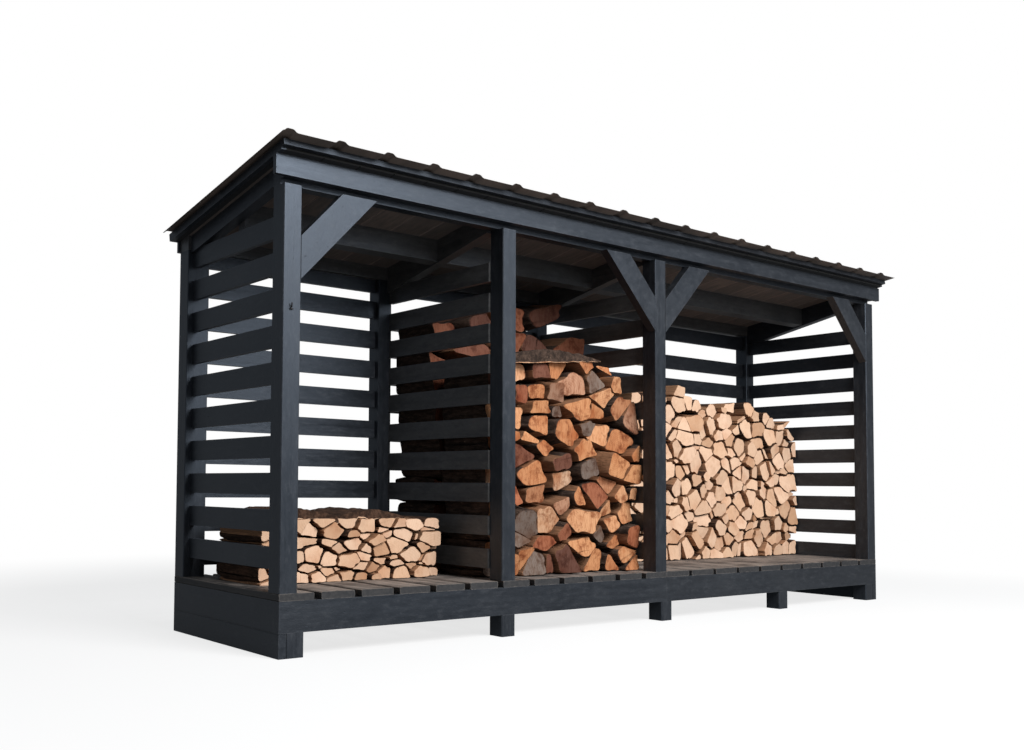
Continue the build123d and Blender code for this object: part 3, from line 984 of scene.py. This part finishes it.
class LogMesh:
    """Mesh of a pile, with what the wood finish reads from it."""

    def __init__(self) -> None:
        """Open the mesh and its layers."""
        self.mesh = bmesh.new()
        self.tone = self.mesh.faces.layers.float.new("tone")
        self.side = self.mesh.faces.layers.float.new("side")
        self.rim = self.mesh.verts.layers.float.new("rim")
        self.pith = self.mesh.verts.layers.float_vector.new("pith")

    def ring(self, points: Sequence[Vector], pith: Vector, rims: Sequence[float] = ()) -> list[BMVert]:
        """Add a row of points.

        Args:
            points: Their places.
            pith: The tree's middle.
            rims: Share of bark beside each point, or nothing for none.

        Returns:
            The new points.
        """
        ring = []
        for point, rim in zip(points, rims or [0.0] * len(points)):
            vert = self.mesh.verts.new(point)
            vert[self.pith] = Vector((point.x - pith.x, 0.3 * (point.y - pith.y), point.z - pith.z))
            vert[self.rim] = rim
            ring.append(vert)
        return ring

    def face(self, verts: Sequence[BMVert], tone: float, kind: LogSide, smooth: bool) -> None:
        """Add one face.

        Args:
            verts: Its corners.
            tone: Tone of the log.
            kind: What the face shows.
            smooth: Whether it is shaded as part of a curve.
        """
        face = self.mesh.faces.new(verts)
        face[self.tone] = tone
        face[self.side] = kind.value
        face.smooth = smooth

    def strip(
        self,
        first: Sequence[BMVert],
        second: Sequence[BMVert],
        tone: float,
        kind: LogSide,
        flip: bool,
        smooth: bool = False,
    ) -> None:
        """Add faces between two rows of points.

        Args:
            first: Points of one row.
            second: Points of the other.
            tone: Tone of the log.
            kind: What the faces show.
            flip: Whether they look the other way.
            smooth: Whether they are shaded as part of a curve.
        """
        for i in range(len(first) - 1):
            a, b, c, d = first[i], first[i + 1], second[i + 1], second[i]
            self.face((a, d, c, b) if flip else (a, b, c, d), tone, kind, smooth)


@dataclass
class Pile:
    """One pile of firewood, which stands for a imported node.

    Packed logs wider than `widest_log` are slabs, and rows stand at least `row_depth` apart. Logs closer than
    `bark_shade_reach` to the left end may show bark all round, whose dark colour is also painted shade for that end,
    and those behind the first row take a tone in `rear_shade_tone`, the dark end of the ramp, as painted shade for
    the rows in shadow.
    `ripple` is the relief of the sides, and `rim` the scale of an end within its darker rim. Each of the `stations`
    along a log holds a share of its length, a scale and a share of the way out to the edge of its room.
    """

    node: bpy.types.Object
    finish: bpy.types.Material
    seed: int
    style: LogStyle
    widest_log: float = 0.28
    row_depth: float = 0.1
    bark_shade_reach: float = 0.03
    rear_shade_tone: Point = (0.93, 1.0)
    ripple: float = 0.05
    rim: float = 0.84
    stations: tuple[tuple[float, float, float], ...] = (
        (0.0, 0.975, 0.0),
        (0.012, 1.0, 0.0),
        (0.12, 1.0, 0.25),
        (0.4, 1.0, 1.0),
        (0.75, 1.0, 1.0),
        (0.985, 0.99, 0.0),
        (1.0, 0.95, 0.0),
    )

    @property
    def front(self) -> float:
        """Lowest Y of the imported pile."""
        name = self.node.name
        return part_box(name)[0].y

    def build(self) -> bpy.types.Object:
        """Make all the logs as one mesh.

        Returns:
            The pile.
        """
        name = self.node.name
        rng = random.Random(self.seed)
        shaper = LogShaper(rng, self.style)
        mesh = LogMesh()
        total = 0
        for row, rooms in enumerate(self.rows(Room.all_of(self.node))):
            slabs = [room for room in rooms if room.right - room.left > self.widest_log]
            logs = [room for room in rooms if room.right - room.left <= self.widest_log]
            packing = Packing(logs, slabs, rng, self.style)
            for slab in slabs:
                self.add_slab(mesh, slab, rng.random())
            for room in packing.filled(round(self.style.density * len(logs))):
                # Painted shade: logs at the pile's left end get bark all round, whose dark colour stands in for the
                # shade there.
                outer = self.style.bark_end_as_shade and room.left < packing.left + self.bark_shade_reach
                # Painted shade: logs behind the first row take the dark end of the tone ramp, for the shadow they lie
                # in.
                tone = rng.random() if row == 0 else rng.uniform(*self.rear_shade_tone)
                self.add_log(mesh, shaper.outline(room), room, tone, outer, rng)
                total += 1
        piece = meshed(name + "_logs", mesh.mesh)
        piece.data.materials.append(self.finish)
        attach(piece, "root")
        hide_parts(name)
        LOG.info("built %s with %d logs and %d faces", piece.name, total, len(piece.data.polygons))
        return piece

    def rows(self, rooms: Sequence[Room]) -> list[list[Room]]:
        """Rooms in rows from the front to the back.

        Args:
            rooms: All rooms of the pile.

        Returns:
            One list for each row.
        """
        rows: list[list[Room]] = []
        for room in sorted(rooms, key=lambda r: r.front):
            if not rows or room.front - rows[-1][-1].front > self.row_depth:
                rows.append([])
            rows[-1].append(room)
        return rows

    def add_slab(self, mesh: LogMesh, room: Room, tone: float) -> None:
        """Add a wide slab that lies bark side up.

        Args:
            mesh: Mesh that takes it.
            room: Its room.
            tone: Its tone.
        """
        steps, rows, pith_depth, trim = 22, 14, 0.1, 0.003
        tops, unders = [], []
        for row in range(rows + 1):
            y = room.front + (room.back - room.front) * row / rows
            middle = Vector((0.5 * (room.left + room.right), y, room.points[0][1] - pith_depth))
            upper, lower = [], []
            for i in range(steps + 1):
                x = room.left + (room.right - room.left) * (trim + (1 - 2 * trim) * i / steps)
                bottom, top = room.span(x)
                worn = 0.3 * self.rough(x * 9.0, y * 5.0, tone * 9) + 0.25 * self.rough(x * 37.0, y * 14.0, tone * 5)
                inset = 0.010 * self.rough(x * 21.0, row, 3.0) * (1 if row == 0 else -(row == rows))
                hang = min(self.style.hang, 0.06 * self.rough(x * 11.0, 7.0, tone * 4.0)) if row == 0 else 0.0
                upper.append(Vector((x, y + inset, top - worn * (top - bottom))))
                lower.append(Vector((x, y + inset * (1 - 0.7 * (hang > 0)), bottom - hang)))
            tops.append(mesh.ring(upper, middle))
            unders.append(mesh.ring(lower, middle))
        for row in range(rows):
            mesh.strip(tops[row], tops[row + 1], tone, LogSide.BARK, False, smooth=True)
            mesh.strip(unders[row], unders[row + 1], tone, LogSide.SPLIT, True)
        for i, flip in ((0, True), (steps, False)):
            mesh.strip([under[i] for under in unders], [top[i] for top in tops], tone, LogSide.BARK, flip)
        for row, flip in ((0, False), (rows, True)):
            under, top = unders[row], tops[row]
            edge = [low.co.lerp(high.co, 0.3 * self.rough(*(low.co * 17.0))) for low, high in zip(under, top)]
            inner = mesh.ring(edge, edge[0])
            mesh.strip(under, inner, tone, LogSide.END, flip)
            mesh.strip(inner, top, tone, LogSide.BARK, flip)

    @staticmethod
    def rough(x: float, y: float, z: float) -> float:
        """Size of a smooth random function of three numbers."""
        return abs(noise.noise(Vector((x, y, z))))

    def add_log(
        self, mesh: LogMesh, outline: Outline, room: Room, tone: float, outer: bool, rng: random.Random
    ) -> None:
        """Add one log.

        Args:
            mesh: Mesh that takes it.
            outline: Its cross-section.
            room: Its room, which gives both ends.
            tone: Its tone.
            outer: Whether bark covers it all round, as on logs at the pile's left end, where the dark bark is also
                painted shade.
            rng: Source of small differences.
        """
        count = len(outline.points)
        mx, mz = (sum(values) / count for values in zip(*outline.points))
        most = self.style.lean
        lean = Vector((rng.uniform(-most, most), rng.uniform(-most, most)))
        reach = max(abs((p[0] - mx) * lean.x + (p[1] - mz) * lean.y) for p in outline.points)
        start = max(self.front + reach, room.front + self.style.recess * rng.random())
        length = room.back - start
        pith = Vector((outline.pith[0], start, outline.pith[1]))
        rims = [1.0 if bark else 0.7 for bark in outline.bark]

        def place(number: int, share: float, scale: float, full: float) -> Vector:
            """Point of the log.

            Args:
                number: Number of the point in the outline.
                share: Share of the log's length.
                scale: Scale of the cross-section.
                full: Share of the way out to the edge of the room.

            Returns:
                The point.
            """
            x, z = between(outline.points[number], outline.full[number], full)
            y = start + share * length
            rough = self.ripple * self.rough(x * 60.0, y * 3.0, z * 60.0 + tone) * min(1.0, share * 8.0) * (1 - full)
            px, pz = (mid + scale * (1 - rough) * (v - mid) for v, mid in ((x, mx), (z, mz)))
            slant = ((x - mx) * lean.x + (z - mz) * lean.y) * scale * (1 - share)
            return Vector((px, y + slant, pz))

        loops = [mesh.ring([place(i, *at) for i in range(count)], pith, rims) for at in self.stations]
        for end, flip in ((0, False), (len(loops) - 1, True)):
            share, scale, full = self.stations[end]
            inner = mesh.ring([place(i, share, scale * self.rim, full) for i in range(count)], pith)
            mesh.strip(loops[end] + loops[end][:1], inner + inner[:1], tone, LogSide.END, flip)
            mesh.face(inner[::-1] if flip else inner, tone, LogSide.END, False)
        for first, second in zip(loops[:-1], loops[1:]):
            for i in range(count):
                j = (i + 1) % count
                # Bark all round on the left-end logs also serves as painted shade.
                kind = LogSide.BARK if outline.bark[i] or outer else LogSide.SPLIT
                mesh.face((first[j], first[i], second[i], second[j]), tone, kind, True)


@dataclass
class Firewood:
    """The three piles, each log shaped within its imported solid."""

    nodes: dict[str, bpy.types.Object]

    def build(self) -> None:
        """Make and dress each pile."""
        # The stops from 0.9 up, darkest at 1.0, also colour the rear rows, as painted shade.
        pale = (
            (0.0, (0.70, 0.465, 0.31)),
            (0.25, (0.84, 0.585, 0.42)),
            (0.7, (0.80, 0.545, 0.375)),
            (0.9, (0.70, 0.44, 0.28)),
            (1.0, (0.52, 0.30, 0.175)),
        )
        mixed = (
            (0.0, (0.17, 0.13, 0.11)),
            (0.15, (0.25, 0.195, 0.165)),
            (0.19, (0.54, 0.235, 0.105)),
            (0.5, (0.64, 0.31, 0.145)),
            (0.74, (0.72, 0.40, 0.22)),
            (0.84, (0.66, 0.45, 0.31)),
            (0.88, (0.44, 0.155, 0.075)),
            (1.0, (0.13, 0.058, 0.042)),
        )
        pale_wood = SplitWood("pale_split_wood", pale).build()
        # This pile's darker split faces are partly its own wood and partly painted shade for the dark bay it lies in.
        mixed_wood = SplitWood("mixed_split_wood", mixed, 0.9, (0.30, 0.15, 0.08), (0.095, 0.059, 0.043)).build()
        flat = LogStyle(1.7, 0.6, gap=0.0032, loss=0.15, corners=(3, 4, 4, 5, 5), lean=0.18, recess=0.014)
        wedges = LogStyle(1.4, 0.3, gap=0.005, loss=0.3, corners=(3, 4, 4, 5), lean=0.25, recess=0.02)
        wedges = replace(wedges, density=1.12, bark_end_as_shade=True, hang=0.005)
        blunt = LogStyle(1.15, 0.35, gap=0.0036, loss=0.19, corners=(5, 5, 6), lean=0.2, recess=0.02, density=1.4)
        Pile(self.nodes["firewood_left"], pale_wood, 5, flat).build()
        Pile(self.nodes["firewood_middle"], mixed_wood, 6, wedges).build()
        Pile(self.nodes["firewood_right"], pale_wood, 7, blunt).build()


# ---------------------------------------------------------------- small iron


@dataclass
class BentNail:
    """Nail left in the first post, its end bent up and its head knocked aside.

    It enters the post's front at `across`, a share of the width, and `path` holds its points from there to the right,
    to the back and up.
    """

    across: float = 0.45
    height: float = 1.118
    radius: float = 0.0022
    path: tuple[tuple[float, float, float], ...] = (
        (-0.006, -0.004, -0.003),
        (0.005, -0.004, -0.004),
        (0.002, 0.004, 0.0),
        (0.0, -0.005, 0.003),
        (-0.001, -0.008, 0.016),
    )

    def build(self) -> bpy.types.Object:
        """Make the nail.

        Returns:
            The nail.
        """
        low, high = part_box("front_left_post")
        x = low.x + self.across * (high.x - low.x)
        curve = bpy.data.curves.new("bent_nail", "CURVE")
        curve.dimensions = "3D"
        curve.bevel_depth = self.radius
        curve.bevel_resolution = 3
        spline = curve.splines.new("POLY")
        spline.points.add(len(self.path) - 1)
        for point, step in zip(spline.points, self.path):
            point.co = (x + step[0], low.y + step[1], self.height + step[2], 1.0)
        g = Graph("dark_iron")
        rust = g.noise(g.position(), 300.0, 3.0, 0.6)
        curve.materials.append(g.finish(g.mix(rust, (0.004, 0.004, 0.004), (0.02, 0.013, 0.01)), 0.7))
        nail = placed("bent_nail", curve)
        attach(nail, "root")
        LOG.info("built %s", nail.name)
        return nail


# ---------------------------------------------------------------- studio


@dataclass
class Studio:
    """Pale floor, soft light and the camera.

    The camera stands at `eye` from `left_foot`, the outer front corner of the first post on the ground. It turns by
    `heading` degrees to the right and `pitch` upwards, and rolls by `roll`. `shift` is a share of the picture's width.
    """

    left_foot: Vector
    eye: tuple[float, float, float] = (-1.701, -2.737, 0.548)
    heading: float = 34.05
    pitch: float = 2.6
    roll: float = 0.66
    lens: float = 35.71
    shift: tuple[float, float] = (0.1876, 0.0632)

    def camera(self) -> None:
        """Place the camera from the left front foot."""
        data = bpy.data.cameras.new("camera")
        data.lens = self.lens
        data.sensor_width = 36.0
        data.shift_x, data.shift_y = self.shift
        camera = placed("camera", data)
        yaw, pitch, roll = (math.radians(a) for a in (self.heading, self.pitch, self.roll))
        turn = Matrix.Rotation(-yaw, 4, "Z") @ Matrix.Rotation(0.5 * math.pi + pitch, 4, "X")
        turn @= Matrix.Rotation(roll, 4, "Z")
        camera.matrix_world = Matrix.Translation(self.left_foot + Vector(self.eye)) @ turn
        bpy.context.scene.camera = camera

    def floor(self) -> None:
        """Wide pale floor that the camera sees as white, with a faint shadow."""
        g = Graph("studio_floor")
        path = g.node("ShaderNodeLightPath", {}, "Is Camera Ray")
        glossy = g.node("ShaderNodeLightPath", {}, "Is Glossy Ray")
        lit = g.node("ShaderNodeBsdfDiffuse", {"Color": g.mix(path, (0.22, 0.22, 0.22), (1.0, 1.0, 1.0))})
        white = g.node("ShaderNodeEmission", {"Color": (1.0, 1.0, 1.0, 1.0), "Strength": 1.0})
        share = path.most(glossy * 0.15) * (0.76 + 0.24 * g.length(g.position()).step(2.4, 4.5))
        mixed = g.node("ShaderNodeMixShader", {0: share, 1: lit, 2: white})
        mesh = bmesh.new()
        bmesh.ops.create_grid(mesh, x_segments=1, y_segments=1, size=60.0)
        floor = meshed("floor", mesh)
        floor.data.materials.append(g.closed(mixed))

    def lights(self) -> None:
        """Dim sky, a soft key lamp high before the left half and a weaker, lower fill."""
        g = Graph("sky", world=True)
        sky = g.node("ShaderNodeBackground", {0: (0.86, 0.93, 1.0, 1.0), 1: 0.24})
        white = g.node("ShaderNodeBackground", {0: (1.0, 1.0, 1.0, 1.0)})
        seen = g.node("ShaderNodeLightPath", {}, "Is Camera Ray")
        bpy.context.scene.world = g.closed(g.node("ShaderNodeMixShader", {0: seen, 1: sky, 2: white}))
        self.lamp("key_lamp", place=(-0.3, -4.7, 4.2), aim=(0.0, 0.0, 0.8), size=(3.4, 2.6), power=395.0)
        self.lamp("fill_lamp", place=(1.4, -5.0, 2.6), aim=(0.3, 0.0, 1.0), size=(3.4, 2.8), power=72.0)

    @staticmethod
    def lamp(name: str, place: Sequence[float], aim: Sequence[float], size: Point, power: float) -> None:
        """Add one area lamp.

        Args:
            name: Lamp's name.
            place: Its position.
            aim: Point it faces.
            size: Width and height.
            power: Watts.
        """
        data = bpy.data.lights.new(name, "AREA")
        data.shape = "RECTANGLE"
        data.size, data.size_y = size
        data.energy = power
        lamp = placed(name, data)
        lamp.location = place
        lamp.rotation_euler = (Vector(aim) - Vector(place)).to_track_quat("-Z", "Y").to_euler()


def main() -> None:
    """Build the visual model piece by piece."""
    logging.basicConfig(level=logging.INFO, format="%(message)s")
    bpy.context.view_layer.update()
    bpy.context.scene.view_settings.view_transform = "Standard"
    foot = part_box("front_left_post")[0].copy()
    foot.z = 0.0
    studio = Studio(foot)
    studio.camera()
    studio.floor()
    studio.lights()
    Shelter(frame["nodes"]).dress()
    Firewood(frame["nodes"]).build()
    BentNail().build()


if __name__ == "__main__":
    main()
